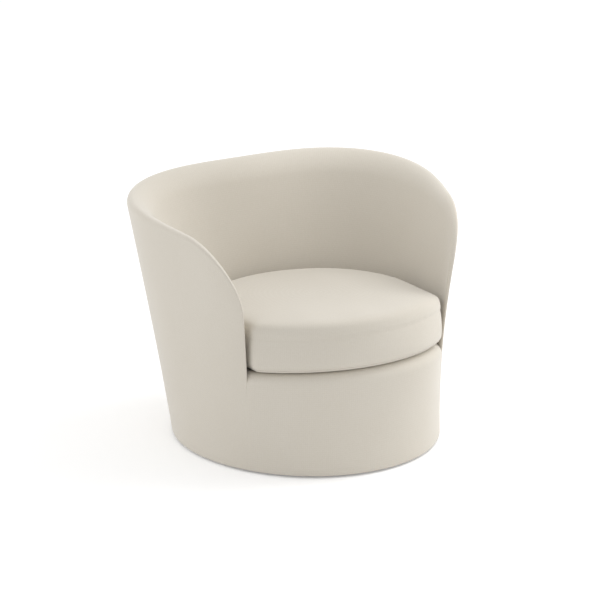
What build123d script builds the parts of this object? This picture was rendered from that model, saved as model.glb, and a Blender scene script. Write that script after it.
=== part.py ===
from build123d import *
import os
from math import atan2, cos, degrees, pi, radians, sin, sqrt, tan

os.makedirs("parts", exist_ok=True)

# Upholstered barrel chair on a hidden swivel plinth, in millimetres.
# The swivel axis is Z and the floor is Z = 0. The sitter faces -Y, so the sitter's left arm is at +X.
# An azimuth is an angle about Z in degrees, 0 at the front, growing towards +X and 180 at the back.

# Body: radius and height of the top of the back, height of the hem, and the outside cover as shares of
# that radius at front, arm, side, rear corner and back, on three levels
body_radius = 450.0
rim_back_height = 665.0
hem_height = 6.0
crown_drop = 3.0
waist_share = 0.5152
hem_shares = (0.8467, 0.82, 0.8044, 0.8356, 0.8467)
waist_shares = (0.8733, 0.8622, 0.8489, 0.9933, 0.9444)
crown_shares = (1.0022, 0.9867, 0.9444, 1.1311, 1)

# Rim of the arms and back
nose_azimuth = 51.5
rim_slope_share = 0.09
rim_shoulder_radius = 195.0
rim_nose_thickness = 12.0
rim_back_thickness = 74.0
rim_rise_share = 0.32

# Sections of the wall layers, as shares of the way from a nose to the middle of the back
station_shares = (0, 0.012, 0.035, 0.07, 0.12, 0.2, 0.29, 0.37, 0.45, 0.53, 0.61, 0.69, 0.77, 0.85, 0.93, 1)
joint_station = 9
station_tolerance = 0.01

# Seat well, and the deck that falls towards the back
nose_wall = 10.0
back_wall = 153.0
well_round_start = -60.0
well_foot_drop = 53.0
deck_front_height = 303.0
seat_pitch = 5.7
front_edge_radius = 30.0
border_depth = 85.0
border_step = 9.0

# Covers and padding
cover_thickness = 1.6
lay_gap = 0.2
pad_gap = 0.6
wadding_thickness = 8.0
nose_padding_share = 0.3
panel_thickness = 3.0
deck_pad_thickness = 12.0
hessian_thickness = 1.0
foam_thickness = 55.0
least_foam = 2.0
fit_gap = 0.3

# Timber frame
ring_thickness = 18.0
ring_points = 36
bottom_ring_width = 52.0
bottom_ring_foot = 9.0
seat_ring_drop = 131.0
seat_ring_lip = 32.0
seat_ring_front_width = 60.0
rail_thickness = 18.0
rail_height = 45.0
rail_drop = 110.0
post_width = 45.0
post_thickness = 32.0
upright_width = 40.0
post_azimuths = (20.0, 60.0, 120.0, 160.0)
upright_shares = (0.05, 0.26, 0.53, 0.79)
back_rail_setback = 82.0
back_rail_depth = 22.0

# Webbing of the inside back
webbing_width = 50.0
webbing_thickness = 2.0
webbing_azimuths = (120.5, 145.0, 171.0)

# Swivel
glide_height = 3.0
glide_radius = 14.0
glide_inset = 25.0
glide_count = 6
plinth_setback = 82.0
plinth_thickness = 15.0
plate_edge = 3.0
plate_thickness = 2.5
race_edge = 1.0
race_width = 14.0
race_height = 2.2
race_floor = 0.6
ball_radius = 3.0
ball_count = 24
ball_clearance = 0.06
cage_width = 12.0
cage_thickness = 1.2
pin_radius = 8.0
pin_head_overhang = 7.0
pin_head_height = 3.0
bush_wall = 2.0
bush_clearance = 0.05
washer_overhang = 3.0
washer_thickness = 1.5
board_setback = 24.0
board_half_width = 125.0
board_thickness = 18.0
board_eye_gap = 8.0
bolt_radius = 3.0
bolt_head_overhang = 3.0
bolt_head_height = 2.2
bolt_circle = 106.0
bolt_count = 4
bolt_start = 45.0
plinth_screw_count = 6
plinth_screw_start = 30.0
tee_nut_overhang = 3.0
tee_nut_thickness = 1.5
board_screw_radius = 2.5
board_screw_overhang = 2.0
board_screw_bite = 12.0
board_screw_inset = 18.0
dust_cover_thickness = 0.8

# Seat springs
spring_count = 5
spring_spacing = 76.0
wire_radius = 1.8
spring_turn_radius = 11.0
spring_bar_length = 26.0
clip_width = 20.0
clip_depth = 9.0
clip_floor = 1.2
tie_wire_radius = 1.5
tie_wire_places = (190.0, 360.0)
tie_wire_half_length = 170.0

# Seat cushion
cushion_gap = 2.0
cushion_bow_share = 0.4637
cushion_front_overhang = 1.0
cushion_side_share = 1.1963
cushion_back_gap = 6.0
cushion_corner_radius = 24.0
cushion_seam_low = 12.0
cushion_seam_high = 104.0
cushion_shoulder = 31.0
cushion_crown = 26.0
cushion_cover_thickness = 1.4
cushion_crown_shares = ((0, 0.99), (0.21, 0.988), (0.4, 0.972), (0.53, 0.94), (0.63, 0.89), (0.75, 0.79),
                        (0.87, 0.62), (0.955, 0.4), (1, 0.16))
cushion_side_shares = ((0, 0.985), (0.25, 0.996), (0.5, 1), (0.75, 0.998), (1, 0.99))
cushion_foot_shares = ((0, 0.93), (0.4, 0.968), (1, 0.985))
cushion_wrap_thickness = 9.0
rest_gap = 0.4

# Zip along the back of the cushion
zip_half_angle = 46.0
zip_boxing_overlap = 6.0
zip_coil_height = 5.0
zip_coil_proud = 1.2
zip_tape_height = 14.0
zip_tape_thickness = 1.0
zip_slider_length = 13.0
zip_slider_height = 9.0
zip_slider_depth = 3.6
zip_slider_wall = 1.2

# Levels and radii that follow from the sizes above
crown_height = rim_back_height - crown_drop
waist_height = hem_height + waist_share * (crown_height - hem_height)
hem_radii = [body_radius * share for share in hem_shares]
waist_radii = [body_radius * share for share in waist_shares]
crown_radii = [body_radius * share for share in crown_shares]
hem_side_radius = hem_radii[2]
levels = ((hem_height, hem_radii), (waist_height, waist_radii), (crown_height, crown_radii))
rail_joint_azimuth = nose_azimuth + (180 - nose_azimuth) * station_shares[joint_station]
pitch_share = tan(radians(seat_pitch))
well_foot_height = deck_front_height - well_foot_drop
seat_ring_height = deck_front_height - seat_ring_drop
seat_ring_top = seat_ring_height + ring_thickness
well_back = waist_radii[-1] - back_wall
back_rail_y = well_back - back_rail_setback
plinth_radius = hem_side_radius - plinth_setback
glide_circle = plinth_radius - glide_inset
plinth_top = glide_height + plinth_thickness
lower_plate_top = plinth_top + plate_thickness
ball_level = lower_plate_top + race_floor + ball_radius
upper_plate_foot = ball_level + ball_radius + race_floor
board_foot = upper_plate_foot + plate_thickness
bolt_head_radius = bolt_radius + bolt_head_overhang
tee_nut_radius = bolt_head_radius + tee_nut_overhang
plate_radius = bolt_circle + bolt_head_radius + plate_edge
race_radius = bolt_circle - bolt_head_radius - race_edge - race_width / 2
pin_head_radius = pin_radius + pin_head_overhang
washer_radius = pin_head_radius + washer_overhang
board_eye_radius = washer_radius + board_eye_gap
board_half_length = hem_side_radius - board_setback
board_screw_head_radius = board_screw_radius + board_screw_overhang
board_screw_length = board_thickness + board_screw_bite
cushion_edge_height = cushion_seam_high + cushion_shoulder
panel_inset = cover_thickness + wadding_thickness + 2 * lay_gap
frame_inset = panel_inset + panel_thickness + fit_gap
foam_back_inset = frame_inset + rail_thickness + webbing_thickness + lay_gap + pad_gap
deck_stack = cover_thickness + deck_pad_thickness + hessian_thickness + 3 * lay_gap
spring_seat = (deck_stack + 2 * wire_radius + clip_floor) / cos(radians(seat_pitch)) + lay_gap


def fold(azimuth):
    """The same place on the +X half of the chair."""
    return azimuth if azimuth <= 180 else 360 - azimuth


def round_series(values, azimuth):
    """Smooth closed curve through five radii that stand an eighth of a turn apart."""
    steps = len(values) - 1
    total = 0
    for order in range(steps + 1):
        ends = 0.5 if order in (0, steps) else 1
        part = 0
        for place, value in enumerate(values):
            half = 0.5 if place in (0, steps) else 1
            part += half * value * cos(pi * order * place / steps)
        total += ends * part * cos(order * radians(azimuth))
    return total * 2 / steps


def outer_radius(azimuth, height):
    """Radius of the outside cover, a parabola through the three levels."""
    total = 0
    for level, radii in levels:
        weight = 1
        for other, _ in levels:
            if other != level:
                weight *= (height - other) / (level - other)
        total += weight * round_series(radii, azimuth)
    return total


nose_radius = outer_radius(nose_azimuth, deck_front_height)
well_half_width = nose_radius * sin(radians(nose_azimuth)) - nose_wall
cushion_front_radius = well_half_width * (1 + cushion_bow_share ** 2) / (2 * cushion_bow_share)


def well_radius(azimuth):
    """Radius of the seat well: straight sides that run into a half ellipse at the back."""
    across = max(sin(radians(fold(azimuth))), station_tolerance)
    along = -cos(radians(azimuth))
    side = well_half_width / across
    if side * along <= well_round_start:
        return side
    depth = well_back - well_round_start
    a = (across / well_half_width) ** 2 + (along / depth) ** 2
    b = -2 * along * well_round_start / depth ** 2
    c = (well_round_start / depth) ** 2 - 1
    return (sqrt(b * b - 4 * a * c) - b) / (2 * a)


def wall_share(azimuth):
    """0 at the nose of an arm and 1 at the middle of the back."""
    return (fold(azimuth) - nose_azimuth) / (180 - nose_azimuth)


def rim_thickness(azimuth):
    """Thickness of the rolled rim, thin at the nose and full at the back."""
    swell = sin(radians(90 * max(wall_share(azimuth), 0)))
    return rim_nose_thickness + (rim_back_thickness - rim_nose_thickness) * swell


def rim_height(azimuth):
    """Top of the rim: a round shoulder that rises from the nose into a line that climbs to the back."""
    back_y = outer_radius(180, waist_height)
    nose_y = -outer_radius(nose_azimuth, waist_height) * cos(radians(nose_azimuth))
    y = -outer_radius(azimuth, waist_height) * cos(radians(azimuth))
    stretch = sqrt(1 + rim_slope_share ** 2)
    centre_y = nose_y + rim_shoulder_radius
    centre_z = rim_back_height - rim_slope_share * (back_y - centre_y) - rim_shoulder_radius * stretch
    if y > centre_y - rim_shoulder_radius * rim_slope_share / stretch:
        return rim_back_height - rim_slope_share * (back_y - y)
    return centre_z + sqrt(max(rim_shoulder_radius ** 2 - (y - centre_y) ** 2, 0))


def shoulder_height(azimuth):
    """Height where the rim starts to round over, and where the outside cover is seamed."""
    return rim_height(azimuth) - rim_rise_share * rim_thickness(azimuth)


def deck_height(y):
    """Height of the deck, which falls towards the back."""
    return deck_front_height - pitch_share * (y + outer_radius(0, deck_front_height))


def spot(azimuth, radius, height):
    """Point in space from an azimuth, a radius and a height."""
    return (radius * sin(radians(azimuth)), -radius * cos(radians(azimuth)), height)


def outline(*edges):
    """Flat face inside a closed run of edges."""
    return make_face(edges)


def half_angle(width, radius):
    """Angle that half of a width takes at a radius."""
    return degrees(width / 2 / radius)


def steps_between(first, last, step):
    """Azimuths from first to last in even steps no larger than step."""
    count = max(1, round((last - first) / step))
    return [first + (last - first) * place / count for place in range(count + 1)]


def wall_stations(first, last):
    """Azimuths of the sections of a wall layer, from one station share to another."""
    half = [nose_azimuth + (180 - nose_azimuth) * share for share in station_shares]
    whole = half + [360 - azimuth for azimuth in reversed(half[:-1])]
    return [azimuth for azimuth in whole if first - station_tolerance < azimuth < last + station_tolerance]


def wall_azimuths():
    """Every station round the arms and back, close together at the noses."""
    return wall_stations(nose_azimuth, 360 - nose_azimuth)


def band(azimuths, outer_inset, inner_inset, low, high, ruled=False):
    """Upright strip between two insets of the outside cover, from low to high at each azimuth."""
    sections = []
    for azimuth in azimuths:
        foot, top = low(azimuth), high(azimuth)
        middle = (foot + top) / 2
        out, back = [], []
        for height in (foot, middle, top):
            radius = outer_radius(azimuth, height)
            out.append(spot(azimuth, radius - outer_inset, height))
            back.insert(0, spot(azimuth, radius - inner_inset, height))
        sections.append(outline(ThreePointArc(*out), Line(out[-1], back[0]), ThreePointArc(*back),
                                Line(back[-1], out[0])))
    return loft(sections, ruled=ruled)


def ring_face(height, top, inset):
    """Level face that stays inside the outside cover up to the top, drawn in by the inset."""
    points = []
    for azimuth in [360 * place / ring_points for place in range(ring_points)]:
        radius = min(outer_radius(azimuth, height), outer_radius(azimuth, top)) - inset
        points.append(spot(azimuth, radius, height))
    return outline(Spline(points, periodic=True))


def well_face(inset, front_inset, height=0):
    """Level face of the seat well: a bowed front, straight sides and a round back."""
    half = well_half_width - inset
    reach = cushion_front_radius - front_inset
    bow_y = reach + front_inset - outer_radius(0, deck_front_height)
    corner_y = bow_y - sqrt(reach ** 2 - half ** 2)
    depth = well_back - inset - well_round_start
    with BuildLine() as line:
        ThreePointArc((-half, corner_y), (0, bow_y - reach), (half, corner_y))
        Line((half, corner_y), (half, well_round_start))
        EllipticalCenterArc((0, well_round_start), half, depth, start_angle=0, arc_size=90)
        EllipticalCenterArc((0, well_round_start), half, depth, start_angle=90, arc_size=90)
        Line((-half, well_round_start), (-half, corner_y))
    return Pos(0, 0, height) * make_face(line.edges())


def seat_place():
    """Frame of the tilted deck: its origin is the middle of the front edge, on top of the deck."""
    return Pos(0, -outer_radius(0, deck_front_height), deck_front_height) * Rot(-seat_pitch, 0, 0)


def save(shape, name):
    """Write one node."""
    export_step(shape, os.path.join("parts", name + ".step"))


def group(shapes):
    """Separate solids kept together in one node."""
    return Compound(children=[solid for shape in shapes for solid in shape.solids()])


def mirrored(shape):
    """The same piece on the other arm."""
    return mirror(shape, about=Plane.YZ)


def ring_of(shape, radius, count, start=0):
    """Copies of a piece round the swivel axis."""
    places = [start + 360 * place / count for place in range(count)]
    return [Rot(0, 0, angle) * Pos(0, -radius, 0) * shape for angle in places]


def upright_cylinder(radius, foot, top):
    """Cylinder on the Z axis between two heights."""
    return Pos(0, 0, foot) * Cylinder(radius, top - foot, align=(Align.CENTER, Align.CENTER, Align.MIN))


# Covers and padding of the walls

def lining_path(azimuth, inset, foot):
    """Edges over the rim and down the inside: crown arc, leaning face, upright foot."""
    shoulder = shoulder_height(azimuth)
    edge = outer_radius(azimuth, shoulder)
    thick = rim_thickness(azimuth)
    seam = spot(azimuth, edge - inset, shoulder)
    crest = spot(azimuth, edge - thick / 2, rim_height(azimuth) - inset)
    brow = spot(azimuth, edge - thick + inset, shoulder)
    heel = spot(azimuth, well_radius(azimuth) + inset, well_foot_height)
    toe = spot(azimuth, well_radius(azimuth) + inset, foot)
    return [seam, crest, brow, heel, toe]


def inside_cover():
    """Fabric over the rim and down the inside of arms and back."""
    sections = []
    foot = seat_ring_top + lay_gap
    for azimuth in wall_azimuths():
        seam, crest, brow, heel, toe = lining_path(azimuth, 0, foot)
        seam_in, crest_in, brow_in, heel_in, toe_in = lining_path(azimuth, cover_thickness, foot)
        sections.append(outline(ThreePointArc(seam, crest, brow), Line(brow, heel), Line(heel, toe),
                                Line(toe, toe_in), Line(toe_in, heel_in), Line(heel_in, brow_in),
                                ThreePointArc(brow_in, crest_in, seam_in), Line(seam_in, seam)))
    return loft(sections)


def outside_cover():
    """Fabric wrap round the outside of arms and back, from the hem to the seam under the rim."""
    return band(wall_azimuths(), 0, cover_thickness, lambda azimuth: hem_height,
                lambda azimuth: shoulder_height(azimuth) - lay_gap)


def nose_fade(azimuth):
    """Share of the full padding that fits in the thin wall near a nose."""
    return min(1, nose_padding_share * (1 + 10 * max(wall_share(azimuth), 0)))


def outside_wadding():
    """Fibre wadding behind the outside cover, thinner towards the noses."""
    sections = []
    inset = cover_thickness + lay_gap
    for azimuth in wall_azimuths():
        foot, top = bottom_ring_foot, step_height(azimuth) - 2 * pad_gap
        thick = wadding_thickness * nose_fade(azimuth)
        out, back = [], []
        for height in (foot, (foot + top) / 2, top):
            radius = outer_radius(azimuth, height) - inset
            out.append(spot(azimuth, radius, height))
            back.insert(0, spot(azimuth, radius - thick, height))
        sections.append(outline(ThreePointArc(*out), Line(out[-1], back[0]), ThreePointArc(*back),
                                Line(back[-1], out[0])))
    return loft(sections)


def step_height(azimuth):
    """Top of the rails and of the side panel, where the foam of the rim takes over."""
    return rim_height(azimuth) - rail_drop


def pad_section(azimuth, ledge_inset, heel_radius, curved=False):
    """Section of foam under the inside cover, with a roll that hooks out over the rail.

    Its back is two straight lines, or one curve that follows the outside."""
    foot = seat_ring_top + lay_gap
    inset = cover_thickness + pad_gap
    seam, crest, brow, heel, toe = lining_path(azimuth, inset, foot)
    shoulder = shoulder_height(azimuth)
    step = step_height(azimuth) + pad_gap
    side = [spot(azimuth, outer_radius(azimuth, height) - inset, height)
            for height in (step, (step + shoulder) / 2, shoulder)]
    ledge = spot(azimuth, outer_radius(azimuth, step) - ledge_inset, step)
    back = spot(azimuth, heel_radius, foot)
    middle = (foot + step) / 2
    follow = outer_radius(azimuth, middle) - ledge_inset
    hollow = min((heel_radius + outer_radius(azimuth, step) - ledge_inset) / 2, follow) - lay_gap
    if curved:
        rear = [ThreePointArc(back, spot(azimuth, follow, middle), ledge)]
    else:
        bend = spot(azimuth, hollow, middle)
        rear = [Line(back, bend), Line(bend, ledge)]
    return outline(ThreePointArc(seam, crest, brow), Line(brow, heel), Line(heel, toe), Line(toe, back),
                   *rear, Line(ledge, side[0]), ThreePointArc(*side))


def foam_room(azimuth, ledge_inset):
    """Thickness of the foam on the ledge of a rail, between the rail's inner face and the inside cover."""
    step, shoulder = step_height(azimuth), shoulder_height(azimuth)
    brow = outer_radius(azimuth, shoulder) - rim_thickness(azimuth)
    rise_share = max((step - well_foot_height) / (shoulder - well_foot_height), 0)
    face = well_radius(azimuth) + (brow - well_radius(azimuth)) * rise_share
    return outer_radius(azimuth, step) - ledge_inset - face - cover_thickness - pad_gap


def first_padded(ledge_inset):
    """First station behind a nose where the wall is high and thick enough for foam."""
    return min(azimuth for azimuth in wall_stations(nose_azimuth, 180)
               if foam_room(azimuth, ledge_inset(azimuth)) > least_foam
               and step_height(azimuth) > well_foot_height + least_foam)


def wall_room(azimuth):
    """Clear thickness between the frame and the inside cover at the foot of the wall."""
    room = outer_radius(azimuth, seat_ring_top) - foam_back_inset - well_radius(azimuth)
    return room - cover_thickness - 2 * pad_gap


def heel_foam(azimuth):
    """Radius of the back of the foam at the foot of the wall."""
    return well_radius(azimuth) + cover_thickness + pad_gap + min(foam_thickness, wall_room(azimuth))


rail_nose_azimuth = first_padded(lambda azimuth: foam_back_inset)


def arm_foam():
    """Foam of the inside arm, +X side."""
    azimuths = wall_stations(rail_nose_azimuth, rail_joint_azimuth)
    return loft([pad_section(azimuth, foam_back_inset, heel_foam(azimuth)) for azimuth in azimuths])


def back_foam():
    """Foam of the inside back."""
    azimuths = wall_stations(rail_joint_azimuth, 360 - rail_joint_azimuth)
    return loft([pad_section(azimuth, foam_back_inset, heel_foam(azimuth)) for azimuth in azimuths])


def nose_inset(azimuth):
    """Inset of the back of the nose pad, behind the cover and the thinned wadding."""
    return cover_thickness + wadding_thickness * nose_fade(azimuth) + lay_gap + pad_gap


def nose_pad():
    """Foam wedge that fills the thin nose of an arm, +X side."""
    foot = seat_ring_top + lay_gap
    azimuths = wall_stations(first_padded(nose_inset), rail_nose_azimuth)
    sections = []
    for azimuth in azimuths:
        inset = nose_inset(azimuth)
        sections.append(pad_section(azimuth, inset, outer_radius(azimuth, foot) - inset, curved=True))
    return loft(sections)


def nose_facing():
    """Fabric that closes the front edge of an arm above the deck, +X side."""
    sections = []
    for azimuth in (nose_azimuth - half_angle(2 * cover_thickness, nose_radius), nose_azimuth):
        foot = deck_height(-nose_radius * cos(radians(nose_azimuth))) + fit_gap
        seam, crest, brow, heel, toe = lining_path(nose_azimuth, 0, foot)
        points = [spot(azimuth, sqrt(x * x + y * y), z) for x, y, z in (seam, crest, brow)]
        lean = (sqrt(brow[0] ** 2 + brow[1] ** 2) - well_radius(nose_azimuth)) / (
            brow[2] - well_foot_height)
        inner = spot(azimuth, well_radius(nose_azimuth) + lean * (foot - well_foot_height), foot)
        side = [spot(azimuth, outer_radius(nose_azimuth, height), height)
                for height in (foot, (foot + seam[2]) / 2, seam[2])]
        sections.append(outline(ThreePointArc(*points), Line(points[2], inner), Line(inner, side[0]),
                                ThreePointArc(*side)))
    return loft(sections, ruled=True)


# Front border, between the noses and under the cushion

def border_azimuths(gap):
    """Stations across the front, from nose to nose."""
    reach = nose_azimuth - gap
    return steps_between(-reach, reach, border_step)


def edge_level(azimuth):
    """Height of the deck where the front edge has rounded over."""
    radius = outer_radius(azimuth, deck_front_height) - front_edge_radius
    return deck_height(-radius * cos(radians(azimuth)))


def border_path(azimuth, inset, foot, depth):
    """Front face, rounded edge and deck lip of the border, drawn in by the inset."""
    along = -cos(radians(azimuth))
    radius = outer_radius(azimuth, deck_front_height)
    drop = edge_level(azimuth)
    bend = front_edge_radius - inset
    corner = bend * (1 - sqrt(0.5))
    low = spot(azimuth, outer_radius(azimuth, foot) - inset, foot)
    edge = outer_radius(azimuth, drop - front_edge_radius)
    rise = spot(azimuth, edge - inset, drop - front_edge_radius)
    turn = spot(azimuth, edge - inset - corner, drop - inset - corner)
    flat = spot(azimuth, edge - inset - bend, drop - inset)
    lip = spot(azimuth, radius - depth, deck_height((radius - depth) * along) - inset)
    return [low, rise, turn, flat, lip]


def border_shell(gap, inset, thick, foot, depth):
    """One layer of the front border."""
    sections = []
    for azimuth in border_azimuths(gap):
        low, rise, turn, flat, lip = border_path(azimuth, inset, foot, depth)
        low_in, rise_in, turn_in, flat_in, lip_in = border_path(azimuth, inset + thick, foot, depth)
        sections.append(outline(Line(low, rise), ThreePointArc(rise, turn, flat), Line(flat, lip),
                                Line(lip, lip_in), Line(lip_in, flat_in),
                                ThreePointArc(flat_in, turn_in, rise_in), Line(rise_in, low_in),
                                Line(low_in, low)))
    return loft(sections)


def front_border_cover():
    """Fabric over the front of the body and round the front edge of the deck."""
    return border_shell(fit_gap, 0, cover_thickness, hem_height, border_depth)


def front_border_pad():
    """Padding under the border fabric."""
    return border_shell(2 * fit_gap, cover_thickness + lay_gap, wadding_thickness, bottom_ring_foot,
                        border_depth)


def front_panel():
    """Fibreboard behind the front padding."""
    return band(border_azimuths(4 * fit_gap), panel_inset, panel_inset + panel_thickness,
                lambda azimuth: bottom_ring_foot,
                lambda azimuth: edge_level(azimuth) - front_edge_radius - spring_seat)


# Frame

def side_panel():
    """Fibreboard wrap behind the wadding of arms and back."""
    return band(wall_stations(rail_nose_azimuth, 360 - rail_nose_azimuth), panel_inset,
                panel_inset + panel_thickness, lambda azimuth: bottom_ring_foot, step_height)


def toe_panel():
    """Low fibreboard piece between the front panel and the side panel, +X side."""
    return band(wall_stations(nose_azimuth, rail_nose_azimuth), panel_inset,
                panel_inset + panel_thickness, lambda azimuth: bottom_ring_foot,
                lambda azimuth: seat_ring_top)


def bottom_ring():
    """Plywood ring at the foot of the body."""
    outer = ring_face(bottom_ring_foot, board_foot, frame_inset)
    inner = ring_face(bottom_ring_foot, board_foot, frame_inset + bottom_ring_width)
    return extrude(outer - inner, amount=board_foot - bottom_ring_foot)


def seat_ring():
    """Plywood ring at seat level, with an opening for the springs."""
    outer = extrude(ring_face(seat_ring_height, seat_ring_top, frame_inset), amount=ring_thickness)
    eye = well_face(seat_ring_lip, seat_ring_front_width + frame_inset, seat_ring_height)
    return outer - extrude(eye, amount=ring_thickness)


def posts():
    """Short posts between the two rings."""
    shapes = []
    for azimuth in post_azimuths:
        spread = half_angle(post_width, outer_radius(azimuth, hem_height) - frame_inset)
        for centre in (azimuth, 360 - azimuth):
            shapes.append(band([centre - spread, centre + spread], frame_inset,
                               frame_inset + post_thickness, lambda place: board_foot,
                               lambda place: seat_ring_height, ruled=True))
    return group(shapes)


def uprights():
    """Uprights from the seat ring to the rails."""
    shapes = []
    for share in upright_shares:
        azimuth = rail_nose_azimuth + (180 - rail_nose_azimuth) * share
        spread = half_angle(upright_width, outer_radius(azimuth, waist_height) - frame_inset)
        for centre in (azimuth, 360 - azimuth):
            shapes.append(band([centre - spread, centre + spread], frame_inset,
                               frame_inset + rail_thickness, lambda place: seat_ring_top,
                               lambda place: step_height(place) - rail_height,
                               ruled=True))
    return group(shapes)


def rail(first, last):
    """Curved plywood rail under the rim."""
    return band(wall_stations(first, last), frame_inset, frame_inset + rail_thickness,
                lambda azimuth: step_height(azimuth) - rail_height,
                step_height)


def front_rail():
    """Curved rail on the seat ring that carries the front ends of the springs."""
    edge_y = frame_inset + rail_thickness - outer_radius(0, deck_front_height)
    return band(border_azimuths(6 * fit_gap), frame_inset, frame_inset + rail_thickness,
                lambda azimuth: seat_ring_top,
                lambda azimuth: deck_height(edge_y * cos(radians(azimuth))) - spring_seat)


def back_rail():
    """Straight rail across the seat ring that carries the back ends of the springs."""
    top = deck_height(back_rail_y + back_rail_depth) - spring_seat
    height = top - seat_ring_top
    board = Pos(0, back_rail_y + back_rail_depth / 2, seat_ring_top + height / 2) * Box(
        2 * well_half_width, back_rail_depth, height)
    room = extrude(well_face(fit_gap, frame_inset, seat_ring_top), amount=height)
    return board & room


def webbing():
    """Elastic straps between the rails and the seat ring, laid on the back of the foam."""
    shapes = []
    for azimuth in webbing_azimuths:
        spread = half_angle(webbing_width, heel_foam(azimuth))
        for centre in (azimuth, 360 - azimuth):
            sections = []
            for place in (centre - spread, centre, centre + spread):
                foot, step = seat_ring_top + lay_gap, step_height(place) + pad_gap
                top = step - rail_height / 2
                heel = heel_foam(place) + pad_gap
                ledge = outer_radius(place, step) - foam_back_inset + pad_gap
                reach = heel + (ledge - heel) * (top - foot) / (step - foot)
                sections.append(outline(Polyline(
                    spot(place, heel, foot), spot(place, heel + webbing_thickness, foot),
                    spot(place, reach + webbing_thickness, top), spot(place, reach, top),
                    spot(place, heel, foot))))
            shapes.append(loft(sections, ruled=True))
    return group(shapes)


# Deck and springs, drawn on the tilted deck

def deck_sheet(inset, front_inset, top, thickness):
    """Level sheet of the deck, laid on the tilted frame."""
    edge = outer_radius(0, deck_front_height)
    face = Pos(0, edge, -top - thickness) * well_face(inset, front_inset)
    return seat_place() * extrude(face, amount=thickness)


def deck_corner_room():
    """Space of the front border, which the deck layers stay out of."""
    return band(border_azimuths(0), -front_edge_radius, border_depth + fit_gap,
                lambda azimuth: seat_ring_top, lambda azimuth: waist_height)


def deck_cover(room):
    """Fabric on top of the deck."""
    return deck_sheet(fit_gap, fit_gap, 0, cover_thickness) - room


def deck_pad(room):
    """Felt pad under the deck fabric."""
    return deck_sheet(2 * fit_gap, fit_gap, cover_thickness + lay_gap, deck_pad_thickness) - room


def hessian():
    """Hessian over the springs."""
    return deck_sheet(2 * fit_gap, frame_inset + 7 * rail_thickness / 8, deck_stack - hessian_thickness,
                      hessian_thickness)


def spring_places():
    """Sideways place, first bar and number of bars of each spring on the tilted deck."""
    places = []
    step = 2 * spring_turn_radius
    edge = outer_radius(0, deck_front_height)
    reach = cushion_front_radius - frame_inset - rail_thickness / 2
    last = (back_rail_y + back_rail_depth / 2 + edge) / cos(radians(seat_pitch))
    for number in range(spring_count):
        x = (number - (spring_count - 1) / 2) * spring_spacing
        first = edge + (cushion_front_radius - edge) - sqrt(reach ** 2 - x ** 2)
        bars = int((last - first) / step)
        places.append((x, last - bars * step, bars))
    return places


def spring_level():
    """Height of the wire's centre below the top of the deck."""
    return -deck_stack - wire_radius


def sinuous_spring(x, first, bars):
    """Zigzag wire: bars across, joined by half turns."""
    half = spring_bar_length / 2
    step = 2 * spring_turn_radius
    level = spring_level()
    edges = []
    side = -1
    for number in range(bars + 1):
        y = first + number * step
        edges.append(Line((x + side * half, y, level), (x - side * half, y, level)))
        if number < bars:
            crest = (x - side * (half + spring_turn_radius), y + spring_turn_radius, level)
            edges.append(ThreePointArc((x - side * half, y, level), crest,
                                       (x - side * half, y + step, level)))
        side = -side
    section = Plane(origin=(x - half, first, level), z_dir=(1, 0, 0)) * Circle(wire_radius)
    return sweep(section, path=Wire(edges))


def seat_springs():
    """Sinuous springs from the front rail to the back rail."""
    return group([seat_place() * sinuous_spring(*place) for place in spring_places()])


def spring_clip(x, y):
    """Clip that holds the end bar of a spring on its rail."""
    height = 2 * wire_radius + clip_floor
    block = Pos(x, y, spring_level() - clip_floor / 2) * Box(clip_width, clip_depth, height)
    bore = Pos(x, y, spring_level()) * Rot(0, 90, 0) * Cylinder(wire_radius + fit_gap / 2, clip_width)
    return block - bore


def spring_clips():
    """A clip at each end of each spring."""
    shapes = []
    for x, first, bars in spring_places():
        for y in (first, first + bars * 2 * spring_turn_radius):
            shapes.append(seat_place() * spring_clip(x, y))
    return group(shapes)


def tie_wires():
    """Wires under the springs that tie them side by side."""
    level = spring_level() - wire_radius - tie_wire_radius - lay_gap
    rod = Rot(0, 90, 0) * Cylinder(tie_wire_radius, 2 * tie_wire_half_length)
    return group([seat_place() * Pos(0, y, level) * rod for y in tie_wire_places])


# Swivel

def glides():
    """Nylon glides under the plinth."""
    foot = upright_cylinder(glide_radius, 0, glide_height)
    return group([foot] + ring_of(foot, glide_circle, glide_count))


def plinth_board():
    """Round plywood board that stands still on its glides."""
    board = upright_cylinder(plinth_radius, glide_height, plinth_top)
    for hole in ring_of(plinth_screw(0), bolt_circle, plinth_screw_count, plinth_screw_start):
        board -= hole
    return board


def plinth_screw(relief):
    """Countersunk screw through the lower plate into the plinth."""
    foot = glide_height + plinth_thickness / 4
    shank = upright_cylinder(bolt_radius + relief, foot, lower_plate_top - bolt_head_height)
    head = Pos(0, 0, lower_plate_top - bolt_head_height / 2) * Cone(
        bolt_radius + relief, bolt_head_radius + relief, bolt_head_height)
    return shank + head


def race(level, facing):
    """Raised ring with a groove for the balls, above (1) or below (-1) its plate."""
    centre = level + facing * race_height / 2
    ring = Pos(0, 0, centre) * (Cylinder(race_radius + race_width / 2, race_height)
                                - Cylinder(race_radius - race_width / 2, race_height))
    groove = Pos(0, 0, ball_level) * Torus(race_radius, ball_radius + ball_clearance)
    return ring - groove


def lower_plate():
    """Pressed steel plate screwed to the plinth."""
    plate = upright_cylinder(plate_radius, plinth_top, lower_plate_top)
    plate -= upright_cylinder(pin_radius, plinth_top, lower_plate_top)
    for hole in ring_of(plinth_screw(0), bolt_circle, plinth_screw_count, plinth_screw_start):
        plate -= hole
    return plate + race(lower_plate_top, 1)


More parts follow.
